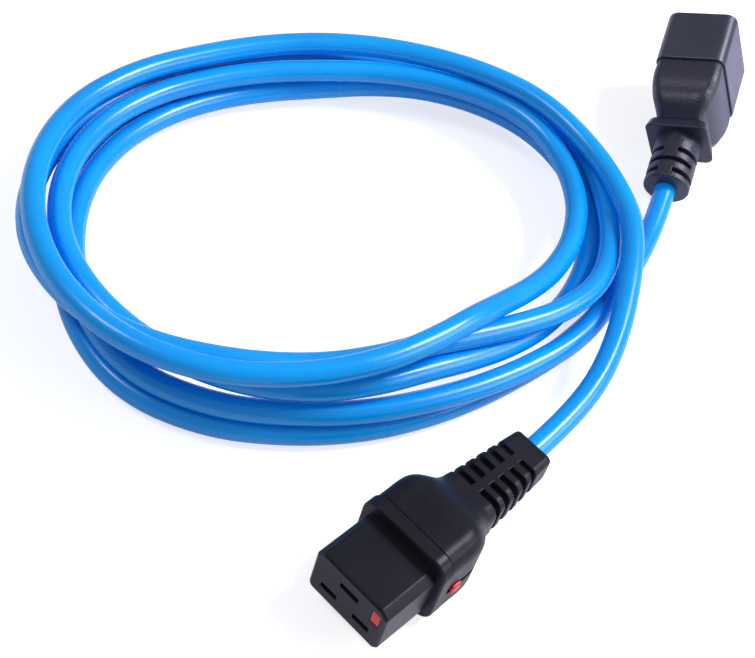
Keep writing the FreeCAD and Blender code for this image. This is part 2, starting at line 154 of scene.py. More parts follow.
# ------------------------------------------------------------------ sizes of the mouldings, mm
# The connector's own Y is counted from its mating face backwards; FACE brings it into the frame.
NOSE_W, NOSE_H, NOSE_L = 28.2, 19.8, 20.3
NOSE_CUT, NOSE_R = 2.6, 2.2     # bevel on the upper long corners, radius on the lower ones
SOFT = 1.4              # radius where a bevel meets a flat
RIM_W, RIM_H, RIM_T, RIM_R = 33.2, 29.2, 4.5, 6.2
MID = RIM_H / 2
BODY_Y = NOSE_L + RIM_T
BODY_W, BODY_H, BODY_R = 32.2, 28.6, 6.2
LOW_R, RIM_LOW_R = 3.8, 6.0     # the lower long corners of body and rim are tighter
PARTING, PARTING_D = 0.2, 0.8   # half the width and the depth of the groove between rim and overmould
NOSE_EDGE, HAIR_EDGE = 0.8, 0.15        # rounded front edges, and edges that are only just broken
PITCH, EARTH_UP = 13.0, 8.0
SLOT_W, EARTH_W, SLOT_H, SLOT_R = 6.3, 7.2, 2.2, 0.3
WALL = 1.6              # in front of the contacts
ROOM_SIDE, ROOM_H = 0.6, 4.0    # room round the contacts: wider than the slot each side, and its height
TIP_W, TIP_H, TIP_R = 3.4, 5.5, 0.25    # window of the red indicator
TIP_X, TIP_Z = NOSE_W / 2 - 3.65, MID + 4.1
ARM_Z, ARM_GAP = MID - 2.2, 2.8     # slot of the lock release
ARM_END, ARM_DEEP = BODY_Y + 14.3, 2.4      # where the slot ends, and its depth
STRAIGHT = 9.7          # of the grip before its shoulder
BOOT_Y, BOOT_END = 50.5, 81.0
BOOT_0, BOOT_1 = (20.4, 16.2, 4.4), (14.6, 11.4, 2.0)   # width, height, corner radius
# the shoulder: share of its length, and of its narrowing that is reached there
SHOULDER_AT = np.array((0, 0.20, 0.39, 0.55, 0.72, 0.87, 1))
SHOULDER = np.array((0, 0.06, 0.25, 0.51, 0.79, 0.945, 1))
# long corners at the two straight stations, the shoulder's and the strain relief's: the upper radius,
# and the lower one as a share of it
CORNERS = [BODY_R, BODY_R, BODY_R, 6.3, 6.4, 6.2, 5.6, 4.8, 4.4, 3.2, 2.0]
LOWER = [LOW_R / BODY_R] * 3 + [0.64, 0.7, 0.8, 0.9, 1.0, 1.0, 1.0, 1.0]
GROOVES = BOOT_Y + 1.8 + 4.6 * np.arange(5)     # where each begins
GROOVE_T, GROOVE_D = 2.1, 2.0
GROOVE_LIP, SPINE_LIP, SLOT_LIP = 0.45, 0.25, 0.2
SEAM_D = 0.12           # parting line of the mould along the strain relief
SPINE = 3.2             # left whole between the grooves
CORD_WALL = 1.8         # least thickness left round the cord, both sides together
BOOT_EDGE = 0.5
BORE, BORE_DEEP, BORE_TIP = CORD_D / 2 + 0.15, 4.0, 1.0  # where the cord goes in, and what closes it

PLUG_W, PLUG_H, PLUG_L, PLUG_R = 36.0, 27.0, 23.0, 4.4
CAVE_W, CAVE_H, CAVE_CUT, BASE = 29.4, 21.2, NOSE_CUT + 0.2, 2.6        # its mouth, and what closes it
PLUG_STEP, PLUG_LIP = 0.8, 0.45 # the shroud stands out round the grip, which draws in where they meet
MOUTH_EDGE, SHROUD_EDGE, COLLAR_EDGE, PLUG_END_EDGE = 0.4, 0.7, 0.6, 0.9
# the plug's grip: share of the run from the shroud to the collar, what its width has lost there; the
# same for its height, with its corner radius
WAIST_W_AT = (0, 0.2, 0.4, 0.55, 0.66, 0.74, 0.82, 0.92, 1)
WAIST_W = (0, 0, 0.5, 2.1, 2.8, 4.0, 6.3, 10.4, 13.6)
WAIST_H_AT = (0, 0.26, 0.47, 0.69, 0.86, 1)
WAIST_H = (0, -0.4, 0.6, 3.3, 6.8, 8.2)
WAIST_R = (3.4, 3.6, 4.0, 4.2, 4.2, 4.0)
COLLAR = (21.8, 24.0, 3.0)
COLLAR_Y, COLLAR_T = 27.5, 4.6
GRIP_RUN = COLLAR_Y - COLLAR_T + 0.3    # the grip runs a little into the collar
PLUG_BOOT_R, PLUG_END = 8.7, 49.0
PLUG_GROOVES = -PLUG_END + 3.6 + 4.8 * np.arange(3)     # their middles
PLUG_GROOVE_T, PLUG_GROOVE_LIP, WEB, WEB_LIP = 1.8, 0.4, 5.3, 0.25
PLUG_AT = (-71.9, 261.3 + FACE, 20.9)
PLUG_TURN = (28.6, 14.4, -114.8)        # yaw, pitch and roll, degrees

CROWN = ((0.4, 0.4), (0.7, 0.15))       # steps of the lock's button: inwards and outwards
LOCK_EDGE = 0.22


# ------------------------------------------------------------------ surfaces
def bar(w, h, x=0.0, z=0.0):
    """Corners of a rectangle, anticlockwise from the lower right."""
    return [(x + w / 2, z - h / 2), (x + w / 2, z + h / 2), (x - w / 2, z + h / 2), (x - w / 2, z - h / 2)]


def nose_corners(w, h, cut, z=0.0):
    """Corners of the C19 face: a rectangle with its two upper corners cut off."""
    a, b = w / 2, h / 2
    return [(a, z - b), (a, z + b - cut), (a - cut, z + b), (cut - a, z + b), (-a, z + b - cut), (-a, z - b)]


def outline(corners, radii, inset=0.0, arc=8):
    """Rounded polygon: every corner moves in by inset along both its edges' normals, its radius
    shrinks by as much, and its arc is the centre plus the radius times (cos, sin) from one normal to
    the next."""
    c = np.array(corners, float)
    ahead = np.roll(c, -1, 0) - c
    ahead /= np.linalg.norm(ahead, axis=1, keepdims=True)
    behind = np.roll(ahead, 1, 0)
    out_a = np.stack([behind[:, 1], -behind[:, 0]], 1)
    out_b = np.stack([ahead[:, 1], -ahead[:, 0]], 1)
    c -= (out_a + out_b) * (inset / (1 + (out_a * out_b).sum(1)))[:, None]
    turn = np.arccos(np.clip((out_a * out_b).sum(1), -1, 1))
    r = np.maximum(np.array(radii, float) - inset, 0.05)
    centre = c - behind * (r * np.tan(turn / 2))[:, None] - out_a * r[:, None]
    angle = np.arctan2(out_a[:, 1], out_a[:, 0])[:, None] + turn[:, None] * np.linspace(0, 1, arc + 1)
    points = centre[:, None] + r[:, None, None] * np.stack([np.cos(angle), np.sin(angle)], 2)
    return points.reshape(-1, 2)


def carried(corners, radii, profile):
    """Wall of a moulding: its rounded outline drawn in by d at the depth y, for each (d, y) of the
    profile."""
    rings = [outline(corners, radii, d) for d, y in profile]
    depths = [y for d, y in profile]
    return np.stack([np.insert(ring, 1, y, axis=1) for ring, y in zip(rings, depths)])


def edge(size, y, way, flat=1.0):
    """Profile of an outer edge, from the end face to the side: size times one minus sine and cosine
    to the power flat, so 1 is round and 2 a plain bevel."""
    a = np.linspace(0, np.pi / 2, 8)
    d = size * (1 - np.sin(a) ** flat)
    return list(zip(d, y + way * size * (1 - np.cos(a) ** flat)))


def smooth(at, stations, values):
    """Cubic through the stations whose slopes there are those of the neighbouring stations' chords."""
    stations, values = np.array(stations, float), np.array(values, float)
    slope = np.gradient(values, stations)
    k = np.clip(np.searchsorted(stations, at, side="right") - 1, 0, len(stations) - 2)
    run = stations[k + 1] - stations[k]
    t = (at - stations[k]) / run
    return ((1 + 2 * t) * (1 - t) ** 2 * values[k] + t * (1 - t) ** 2 * run * slope[k]
            + t * t * (3 - 2 * t) * values[k + 1] + t * t * (t - 1) * run * slope[k + 1])


def lines(start, stop, step, edges=(), near=(0.03, 0.12, 0.24, 0.36, 0.45)):
    """Grid lines from start to stop, a step apart, with closer ones each side of every edge."""
    close = np.array([0.0] + [s * n for n in near for s in (-1, 1)])
    every = np.concatenate([np.arange(start, stop, step), [stop]] + [e + close for e in edges])
    every = np.unique(np.round(every[(every >= start) & (every <= stop)], 4))
    return every[np.insert(np.diff(every) > 0.015, 0, True)]


def sunk(inside, depth, lip):
    """How deep a moulded groove is where inside is the way in from its edge: nothing before its lip,
    down a quarter circle of the lip's radius to the edge, and its full depth past that."""
    t = np.clip(inside + lip, 0, lip)
    return np.where(inside > 0.01, depth, lip - np.sqrt(lip ** 2 - t ** 2))


def columns(sides, arc):
    """Where the points of a rounded rectangle lie, anticlockwise from the lower right: as a share of
    its straight half width and height, and as a normal. sides gives each side's inner points as
    shares of its length."""
    way = ((1, 0), (0, 1), (-1, 0), (0, -1))
    corner = ((1, -1), (1, 1), (-1, 1), (-1, -1), (1, -1))
    share, normal = [], []
    for k, inner in enumerate(sides):
        s = np.concatenate([[0], inner, [1]])[:, None]
        share.append((1 - s) * corner[k] + s * np.array(corner[k + 1]))
        normal.append(np.repeat([way[k]], len(s), 0))
        a = (k + np.linspace(0, 1, arc + 1)[1:-1]) * np.pi / 2
        share.append(np.repeat([corner[k + 1]], len(a), 0))
        normal.append(np.stack([np.cos(a), np.sin(a)], 1))
    return np.concatenate(share), np.concatenate(normal)


def sections(share, normal, w, h, r, sink=0.0, under=1.0):
    """Rounded rectangles, one a row: the share of the straight half sides plus the radius, less what
    is sunk, along the normal. Below the middle the radius is times under."""
    w, h, r = (np.asarray(v, float)[:, None] for v in (w, h, r))
    r = r * np.where(share[:, 1] < 0, under, 1.0)
    x = share[:, 0] * (w / 2 - r) + normal[:, 0] * (r - sink)
    z = share[:, 1] * (h / 2 - r) + normal[:, 1] * (r - sink)
    return x, z


def stacked(x, y, z):
    """Rings of points from rows of x and z and one y a row."""
    return np.stack([x, np.broadcast_to(np.asarray(y, float)[:, None], x.shape), z], 2)


def circle(r, y, count=48):
    """A ring of even angles."""
    a = np.arange(count) * 2 * np.pi / count
    return np.stack([r * np.cos(a), np.full(count, y), r * np.sin(a)], 1)


def solid(name, walls, fills, turn=None, at=(0.0, FACE, 0.0)):
    """One closed mesh from walls, which are stacks of rings, and flat fills between a ring and its
    holes. Walls and fills share their edge points, which are merged before the faces are turned
    outwards."""
    points, faces, start = [], [], 0
    for wall in walls:
        rings, count = wall.shape[:2]
        i = np.arange(rings - 1)[:, None] * count
        j = np.arange(count)
        k = np.roll(j, -1)
        quads = np.stack([i + j, i + k, i + count + k, i + count + j], 2)
        faces += (quads.reshape(-1, 4) + start).tolist()
        points.append(wall.reshape(-1, 3))
        start += rings * count
    for loops in fills:
        faces += (np.array(tessellate_polygon([loop.tolist() for loop in loops])) + start).tolist()
        points += loops
        start += sum(len(loop) for loop in loops)
    points = np.concatenate(points)
    if turn is not None:
        points = points @ np.array(turn).T
    mesh = bpy.data.meshes.new(name)
    mesh.from_pydata(((points + at) * MM).tolist(), [], faces)
    work = bmesh.new()
    work.from_mesh(mesh)
    bmesh.ops.remove_doubles(work, verts=work.verts, dist=0.004 * MM)
    bmesh.ops.dissolve_degenerate(work, edges=work.edges, dist=0.002 * MM)
    bmesh.ops.recalc_face_normals(work, faces=work.faces)
    work.to_mesh(mesh)
    work.free()
    return shaded(name, mesh)


def shaded(name, mesh):
    """Links the mesh as a piece: smooth but for edges sharper than 40 degrees, with large faces
    leading the normals."""
    mesh.shade_smooth()
    mesh.set_sharp_from_angle(angle=math.radians(40))
    obj = bpy.data.objects.new(name, mesh)
    bpy.context.scene.collection.objects.link(obj)
    lead = obj.modifiers.new("flat_faces_lead", "WEIGHTED_NORMAL")
    lead.keep_sharp = True
    return obj


# ------------------------------------------------------------------ connector
def make_socket():
    """Nose, rim, three contact slots and the indicator's window, one moulding."""
    nose, nose_r = nose_corners(NOSE_W, NOSE_H, NOSE_CUT, MID), (NOSE_R, SOFT, SOFT, SOFT, SOFT, NOSE_R)
    rim, rim_r = bar(RIM_W, RIM_H, 0, MID), (RIM_LOW_R, RIM_R, RIM_R, RIM_LOW_R)
    parting = [(PARTING_D, BODY_Y), (PARTING_D, BODY_Y - PARTING)] + edge(HAIR_EDGE, BODY_Y - PARTING, -1)
    sides = carried(nose, nose_r, edge(NOSE_EDGE, 0.0, 1, flat=1.6) + [(0, NOSE_L)])
    collar = carried(rim, rim_r, edge(NOSE_EDGE, NOSE_L, 1) + parting[::-1])
    lip = [(-d, y) for d, y in edge(HAIR_EDGE, 0.0, 1)]
    walls, mouths, ends, fills = [sides, collar], [], [], []
    for x, z, w in ((-PITCH / 2, MID - EARTH_UP / 2, SLOT_W), (PITCH / 2, MID - EARTH_UP / 2, SLOT_W),
                    (0.0, MID + EARTH_UP / 2, EARTH_W)):
        slot = carried(bar(w, SLOT_H, x, z), [SLOT_R] * 4, lip + [(0, WALL)])
        room = carried(bar(w + 2 * ROOM_SIDE, ROOM_H, x, z), [SLOT_R] * 4, [(0, WALL), (0, BODY_Y)])
        walls += [slot, room]
        fills.append([room[0], slot[-1]])
        mouths.append(slot[0])
        ends.append(room[-1])
    window = carried(bar(TIP_W, TIP_H, TIP_X, TIP_Z), [TIP_R] * 4, lip + [(0, BODY_Y)])
    walls.append(window)
    fills += [[sides[0]] + mouths + [window[0]], [collar[0], sides[-1]], [collar[-1]] + ends + [window[-1]]]
    return solid("socket_moulding", walls, fills)


def make_grip():
    """Overmould of the connector: straight front with the lock's slot, a shoulder, and the strain
    relief with five pairs of grooves each side of a spine. Rounded sections along Y, sunk along their
    normals at grooves, slot and seam."""
    high, low = BODY_H / 2 - BODY_R, BODY_H / 2 - LOW_R
    up = lines(-low, high, 1.2, (ARM_Z - MID - ARM_GAP / 2, ARM_Z - MID + ARM_GAP / 2, 0.0), (0.03, 0.1, 0.2))
    right = (np.where(up < 0, up / low, up / high)[1:-1] + 1) / 2
    span = BODY_W / 2 - BODY_R
    spread = span / (BOOT_0[0] / 2 - BOOT_0[2])
    over = lines(-span, span, 1.6, (-SPINE / 2 * spread, SPINE / 2 * spread), (0.05, 0.3, 0.6))
    top = (over[1:-1] + span) / (2 * span)
    share, normal = columns((right, top, 1 - right[::-1], top), 12)
    edges = np.concatenate([GROOVES, GROOVES + GROOVE_T])
    y = lines(BODY_Y, BOOT_END, 0.7, [*edges, ARM_END, GROOVES[2] + GROOVE_T / 2])
    shoulder = SHOULDER_AT * (BOOT_Y - BODY_Y - STRAIGHT) + BODY_Y + STRAIGHT
    stations = [BODY_Y, BODY_Y + STRAIGHT / 2, *shoulder, (BOOT_Y + BOOT_END) / 2, BOOT_END]
    w, h = (smooth(y, stations, [a, a, *(a + (b - a) * SHOULDER), (b + c) / 2, c])
            for a, b, c in zip((BODY_W, BODY_H), BOOT_0, BOOT_1))
    r = smooth(y, stations, CORNERS)
    under = smooth(y, stations, LOWER)[:, None]
    x, z = sections(share, normal, w, h, r, under=under)
    ring = np.max([GROOVE_T / 2 - np.abs(y - g - GROOVE_T / 2) for g in GROOVES], 0)[:, None]
    past = np.where(np.abs(normal[:, 0]) > 0.5, BODY_W, np.abs(x) - SPINE / 2)
    deep = np.minimum(GROOVE_D, (h - CORD_D - CORD_WALL) / 2)[:, None]
    sink = np.minimum(sunk(ring, deep, GROOVE_LIP), sunk(past, GROOVE_D, SPINE_LIP))
    middle = np.abs(share[:, 1] * np.where(share[:, 1] < 0, low, high) + MID - ARM_Z)
    slot = np.minimum(sunk(ARM_GAP / 2 - middle, ARM_DEEP, SLOT_LIP),
                      sunk(ARM_END - y, ARM_DEEP, SLOT_LIP)[:, None])
    sink = np.maximum(sink, np.where(normal[:, 0] > 0.99, slot, 0))
    seam = (np.abs(share[:, 1]) < 0.004) & (np.abs(normal[:, 0]) > 0.99)
    sink = sink + np.where(seam & (y[:, None] > BOOT_Y), SEAM_D, 0)
    x, z = sections(share, normal, w, h, r, sink, under)
    skin = stacked(x, y, z + MID)
    parting = [(PARTING_D, BODY_Y), (PARTING_D, BODY_Y + PARTING)] + edge(HAIR_EDGE, BODY_Y + PARTING, 1)
    d, depth = np.array(parting).T
    fx, fz = sections(share, normal, BODY_W - 2 * d, BODY_H - 2 * d, BODY_R - d, 0.0, LOW_R / BODY_R)
    front = stacked(fx, depth, fz + MID)
    d, depth = np.array(edge(BOOT_EDGE, BOOT_END, -1)[::-1]).T
    bw, bh, br = BOOT_1
    rx, rz = sections(share, normal, bw - 2 * d, bh - 2 * d, np.maximum(br - d, BOOT_EDGE))
    rear = stacked(rx, depth, rz + MID)
    keep = (y > BODY_Y + PARTING + 0.2) & (y < BOOT_END - BOOT_EDGE)
    skin = np.concatenate([front, skin[keep], rear])
    end = BOOT_END - BORE_DEEP
    hole = np.stack([circle(BORE, BOOT_END), circle(BORE, end), circle(BORE_TIP, end)]) + (0, 0, MID)
    return solid("grip_moulding", [skin, hole], [[skin[0]], [skin[-1], hole[0]], [hole[-1]]])


# ------------------------------------------------------------------ plug
def plug_turn():
    """How the plug lies on the floor: rolled, then pitched, then yawed."""
    yaw, pitch, roll = (math.radians(v) for v in PLUG_TURN)
    return Matrix.Rotation(yaw, 3, "Z") @ Matrix.Rotation(pitch, 3, "X") @ Matrix.Rotation(roll, 3, "Y")


def make_shroud():
    """Shroud of the plug: a rounded box with a C19 shaped mouth and a base."""
    outer, outer_r = bar(PLUG_W, PLUG_H), [PLUG_R] * 4
    mouth, mouth_r = nose_corners(CAVE_W, CAVE_H, CAVE_CUT), (NOSE_R, SOFT, SOFT, SOFT, SOFT, NOSE_R)
    skin = carried(outer, outer_r, edge(MOUTH_EDGE, 0.0, 1) + edge(SHROUD_EDGE, PLUG_L, -1)[::-1])
    inner = carried(mouth, mouth_r, [(-d, y) for d, y in edge(MOUTH_EDGE, PLUG_L, -1)] + [(0, BASE)])
    return solid("shroud_moulding", [skin, inner], [[skin[0]], [skin[-1], inner[0]], [inner[-1]]],
                 plug_turn(), PLUG_AT)


def make_plug_grip():
    """Overmould of the plug: a bulging grip that narrows to a collar plate, and a round strain relief
    with three rings of grooves whose webs alternate."""
    share, normal = columns([np.linspace(0, 1, 14)[1:-1]] * 4, 12)
    w, h = PLUG_W - 2 * PLUG_STEP, PLUG_H - 2 * PLUG_STEP
    y = np.linspace(0, 1, 70)
    less_w = smooth(y, WAIST_W_AT, WAIST_W)
    less_h = smooth(y, WAIST_H_AT, WAIST_H)
    r = smooth(y, WAIST_H_AT, WAIST_R)
    lip = np.maximum(0, PLUG_LIP - 16 * y)
    x, z = sections(share, normal, w - less_w - lip, h - less_h - lip, r)
    grip = stacked(x, -y * GRIP_RUN, z)
    cw, ch, cr = COLLAR
    # the collar's rows: what it lacks in width, and the depth
    back = COLLAR_T - COLLAR_Y
    rows = [(2.4, back), (1.4, back - 0.5), (0.0, COLLAR_EDGE - COLLAR_Y)]
    rows += [(2 * d, depth) for d, depth in edge(COLLAR_EDGE, -COLLAR_Y, 1)[::-1]]
    d, depth = np.array(rows).T
    x, z = sections(share, normal, cw - d, ch - d * 1.2, np.full(len(d), cr))
    grip = np.concatenate([grip, stacked(x, depth, z)])
    side = math.degrees(math.asin(WEB / 2 / PLUG_BOOT_R))
    edges = [k * 90 + s * side for k in range(5) for s in (-1, 1)]
    angle = np.radians(lines(0, 360, 6, edges, (0.2, 0.8, 1.6)))[:-1]
    cuts = np.concatenate([PLUG_GROOVES - PLUG_GROOVE_T / 2, PLUG_GROOVES + PLUG_GROOVE_T / 2])
    y = lines(-PLUG_END + PLUG_END_EDGE, -COLLAR_Y, 0.8, cuts)[::-1]
    sink = np.zeros((len(y), len(angle)))
    for i, g in enumerate(PLUG_GROOVES):
        across = np.sin(angle) if i % 2 == 0 else np.cos(angle)
        web = np.abs(across) * PLUG_BOOT_R - WEB / 2
        row = sunk(PLUG_GROOVE_T / 2 - np.abs(y - g), GROOVE_D, PLUG_GROOVE_LIP)[:, None]
        sink = np.maximum(sink, np.minimum(row, sunk(web, GROOVE_D, WEB_LIP)))
    r = PLUG_BOOT_R - sink
    end, depth = np.array(edge(PLUG_END_EDGE, -PLUG_END, 1)[::-1][1:]).T
    y = np.concatenate([y, depth, [-PLUG_END, -PLUG_END + BORE_DEEP, -PLUG_END + BORE_DEEP]])
    tail = np.concatenate([PLUG_BOOT_R - end, [BORE, BORE, BORE_TIP]])
    r = np.concatenate([r, np.repeat(tail[:, None], len(angle), 1)])
    boot = stacked(r * np.cos(angle), y, r * np.sin(angle))
    return solid("plug_grip_moulding", [grip, boot], [[grip[0]], [grip[-1], boot[0]], [boot[-1]]],
                 plug_turn(), PLUG_AT)


# ------------------------------------------------------------------ lock release
def make_lock():
    """The release as built, with its flat faces joined, its button crowned in two steps and its edges
    slightly rounded."""
    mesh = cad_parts["lock_slider"].data.copy()
    mesh.name = "lock_moulding"
    work = bmesh.new()
    work.from_mesh(mesh)
    bmesh.ops.remove_doubles(work, verts=work.verts, dist=0.002 * MM)
    bmesh.ops.dissolve_limit(work, angle_limit=math.radians(1), verts=work.verts, edges=work.edges)
    for inwards, outwards in CROWN:
        button = max(work.faces, key=lambda face: face.calc_center_median().x)
        bmesh.ops.inset_individual(work, faces=[button], thickness=inwards * MM, depth=outwards * MM)
    work.to_mesh(mesh)
    work.free()
    obj = bpy.data.objects.new("lock_moulding", mesh)
    bpy.context.scene.collection.objects.link(obj)
    mesh.shade_smooth()
    soft = obj.modifiers.new("moulded_edges", "BEVEL")
    soft.width = LOCK_EDGE * MM
    soft.segments = 3
    soft.limit_method = "ANGLE"
    soft.angle_limit = math.radians(35)
    soft.harden_normals = True
    return obj


# ------------------------------------------------------------------ materials
# Object coordinates are metres, so a pattern of p mm has the scale 1000 / p.
GLOW = 0.70             # of the paper, only for what looks straight at it


def colour(code):
    """Linear colour of a six digit sRGB hex value."""
    c = np.array([int(code[i:i + 2], 16) for i in (0, 2, 4)]) / 255
    c = np.where(c <= 0.04045, c / 12.92, ((c + 0.055) / 1.055) ** 2.4)
    return (*c.tolist(), 1.0)


def add(tree, kind, sockets, **settings):
    """Adds one node: settings are its own, sockets give each input a value or another node's output."""
    node = tree.nodes.new(kind)
    for key, value in settings.items():
        setattr(node, key, value)
    for key, value in sockets.items():
        if isinstance(value, bpy.types.NodeSocket):
            tree.links.new(value, node.inputs[key])
        else:
            node.inputs[key].default_value = value
    return node


def blank(name):
    """A new material with its tree, shader and the object's own coordinates."""
    material = bpy.data.materials.new(name)
    material.use_nodes = True
    tree = material.node_tree
    tree.nodes.clear()
    shader = tree.nodes.new("ShaderNodeBsdfPrincipled")
    out = tree.nodes.new("ShaderNodeOutputMaterial")
    tree.links.new(shader.outputs["BSDF"], out.inputs["Surface"])
    place = tree.nodes.new("ShaderNodeTexCoord").outputs["Object"]
    return material, tree, shader, place


def moulded(name, dark, light, ior, rough, grain, depth, shine=0.5, cast=(1.0, 1.0, 1.0), painted_sheen=0.0):
    """Moulded plastic: a cloudy change of shade a few centimetres across, a spark-eroded grain of the
    given size and depth in mm, a roughness that drifts where hands have rubbed it, a share of shine
    whose cast is a painted tint on its reflections, and a painted violet sheen at low angles."""
    material, tree, shader, place = blank(name)
    cloud = add(tree, "ShaderNodeTexNoise",
                {"Vector": place, "Scale": 1000 / 22, "Detail": 3.0, "Roughness": 0.55})
    speck = add(tree, "ShaderNodeTexNoise",
                {"Vector": place, "Scale": 1000 / grain, "Detail": 2.0, "Roughness": 0.6})
    both = add(tree, "ShaderNodeMath", {0: cloud.outputs["Fac"], 1: speck.outputs["Fac"]}, operation="ADD")
    shade = add(tree, "ShaderNodeMapRange",
                {"Value": both.outputs["Value"], "From Min": 0.7, "From Max": 1.3})
    ramp = add(tree, "ShaderNodeValToRGB", {"Fac": shade.outputs["Result"]})
    ramp.color_ramp.elements[0].color = colour(dark)
    ramp.color_ramp.elements[1].color = colour(light)
    tree.links.new(ramp.outputs["Color"], shader.inputs["Base Color"])
    rub = add(tree, "ShaderNodeMapRange", {"Value": cloud.outputs["Fac"], "From Min": 0.3, "From Max": 0.7,
                                           "To Min": rough - 0.05, "To Max": rough + 0.05})
    tree.links.new(rub.outputs["Result"], shader.inputs["Roughness"])
    bump = add(tree, "ShaderNodeBump",
               {"Height": speck.outputs["Fac"], "Strength": 1.0, "Distance": depth * MM})
    tree.links.new(bump.outputs["Normal"], shader.inputs["Normal"])
    shader.inputs["IOR"].default_value = ior
    shader.inputs["Specular IOR Level"].default_value = shine
    # Painted violet: the shine's cast and the sheen's tint colour the reflections, which the plastic itself
    # would give white.
    shader.inputs["Specular Tint"].default_value = (*cast, 1.0)
    shader.inputs["Sheen Weight"].default_value = painted_sheen
    shader.inputs["Sheen Roughness"].default_value = 0.3
    shader.inputs["Sheen Tint"].default_value = colour("B2AEF6")
    return material


VIOLET = (0.80, 0.79, 1.0)      # painted violet cast on what the black plastics mirror
# Glass-filled nylon, moulded in a fine-blasted tool: black and satin, with a painted violet cast on its
# reflections and a faint painted violet sheen.
HARD_BLACK = moulded("glass_filled_nylon_moulded_satin", "1A1A20", "202027", ior=1.53, rough=0.32,
                     grain=0.35, depth=0.006, shine=0.19, cast=VIOLET, painted_sheen=0.02)
# Plasticised PVC moulded over the hard parts in a spark-eroded tool: duller, with a visible grain; a painted
# violet cast on its reflections and a faint painted violet sheen.
SOFT_BLACK = moulded("soft_pvc_overmoulded_spark_grain", "15151B", "1E1E25", ior=1.52, rough=0.36,
                     grain=0.45, depth=0.040, shine=0.20, cast=VIOLET, painted_sheen=0.03)
# The plug's nylon, moulded in a polished tool: a cooler, greyer black that shines at low angles, where a full
# painted violet sheen brightens its sides.
PLUG_HARD = moulded("nylon_moulded_polished_grey_black", "242530", "2D2E3A", ior=1.53, rough=0.34,
                    grain=0.35, depth=0.004, shine=1.0, cast=VIOLET, painted_sheen=1.0)
# The plug's own soft PVC, with a coarser grain that sparkles where it bulges, and a full painted violet sheen
# at low angles.
PLUG_SOFT = moulded("soft_pvc_overmoulded_coarse_grain", "171820", "22232C", ior=1.52, rough=0.36,
                    grain=0.7, depth=0.200, shine=0.7, cast=VIOLET, painted_sheen=1.0)
# Acetal moulded in a polished tool: saturated red, slightly waxy.
RED = moulded("acetal_moulded_red", "D81E26", "F0333A", ior=1.48, rough=0.30, grain=0.5, depth=0.004)
# Uncoloured nylon, moulded: milky and matt.
NATURAL = moulded("nylon_moulded_natural", "CFC7B4", "DDD6C6", ior=1.53, rough=0.45, grain=0.4, depth=0.006)


def sheath():
    """Extruded PVC sheath: even blue, faint long drifts in shade, slight waviness every few
    millimetres and a fine die skin, so its highlight is soft and a little broken."""
    material, tree, shader, place = blank("pvc_sheath_extruded_blue")
    drift = add(tree, "ShaderNodeTexNoise",
                {"Vector": place, "Scale": 1000 / 30, "Detail": 2.0, "Roughness": 0.5})
    ramp = add(tree, "ShaderNodeValToRGB", {"Fac": drift.outputs["Fac"]})
    ramp.color_ramp.elements[0].position = 0.3
    ramp.color_ramp.elements[0].color = colour("0098F0")
    ramp.color_ramp.elements[1].position = 0.7
    ramp.color_ramp.elements[1].color = colour("00A2FA")
    tree.links.new(ramp.outputs["Color"], shader.inputs["Base Color"])
    wave = add(tree, "ShaderNodeTexNoise",
               {"Vector": place, "Scale": 1000 / 9, "Detail": 1.0, "Roughness": 0.5})
    skin = add(tree, "ShaderNodeTexNoise",
               {"Vector": place, "Scale": 1000 / 0.5, "Detail": 1.0, "Roughness": 0.5})
    gloss = add(tree, "ShaderNodeMapRange", {"Value": wave.outputs["Fac"], "From Min": 0.3, "From Max": 0.7,
                                             "To Min": 0.20, "To Max": 0.28})
    tree.links.new(gloss.outputs["Result"], shader.inputs["Roughness"])
    slow = add(tree, "ShaderNodeBump",
               {"Height": wave.outputs["Fac"], "Strength": 1.0, "Distance": 0.03 * MM})
    fine = add(tree, "ShaderNodeBump",
               {"Height": skin.outputs["Fac"], "Strength": 1.0, "Distance": 0.002 * MM,
                "Normal": slow.outputs["Normal"]})
    tree.links.new(fine.outputs["Normal"], shader.inputs["Normal"])
    shader.inputs["IOR"].default_value = 1.53
    shader.inputs["Specular IOR Level"].default_value = 0.45
    return material


BLUE = sheath()


def metal(name, dark, light, rough, line, depth, stretch):
    """Rolled or drawn metal: fine lines of the given spacing in mm, drawn out along one way, with a
    slightly uneven tarnish."""
    material, tree, shader, place = blank(name)
    along = add(tree, "ShaderNodeMapping", {"Vector": place, "Scale": stretch})
    rolled = add(tree, "ShaderNodeTexNoise",
                 {"Vector": along.outputs["Vector"], "Scale": 1000 / line, "Detail": 2.0, "Roughness": 0.6})
    stain = add(tree, "ShaderNodeTexNoise",
                {"Vector": place, "Scale": 1000 / 4, "Detail": 3.0, "Roughness": 0.6})
    ramp = add(tree, "ShaderNodeValToRGB", {"Fac": stain.outputs["Fac"]})
    ramp.color_ramp.elements[0].position = 0.3
    ramp.color_ramp.elements[0].color = colour(dark)
    ramp.color_ramp.elements[1].position = 0.7
    ramp.color_ramp.elements[1].color = colour(light)
    tree.links.new(ramp.outputs["Color"], shader.inputs["Base Color"])
    rub = add(tree, "ShaderNodeMapRange", {"Value": rolled.outputs["Fac"], "From Min": 0.3, "From Max": 0.7,
                                           "To Min": rough - 0.06, "To Max": rough + 0.06})
    tree.links.new(rub.outputs["Result"], shader.inputs["Roughness"])
    bump = add(tree, "ShaderNodeBump",
               {"Height": rolled.outputs["Fac"], "Strength": 1.0, "Distance": depth * MM})
    tree.links.new(bump.outputs["Normal"], shader.inputs["Normal"])
    shader.inputs["Metallic"].default_value = 1.0
    return material


# Pressed brass strip: warm yellow with rolling lines along the contact.
BRASS = metal("brass_strip_pressed", "A98343", "C9A25C", rough=0.30, line=0.3, depth=0.004,
              stretch=(1.0, 0.1, 1.0))
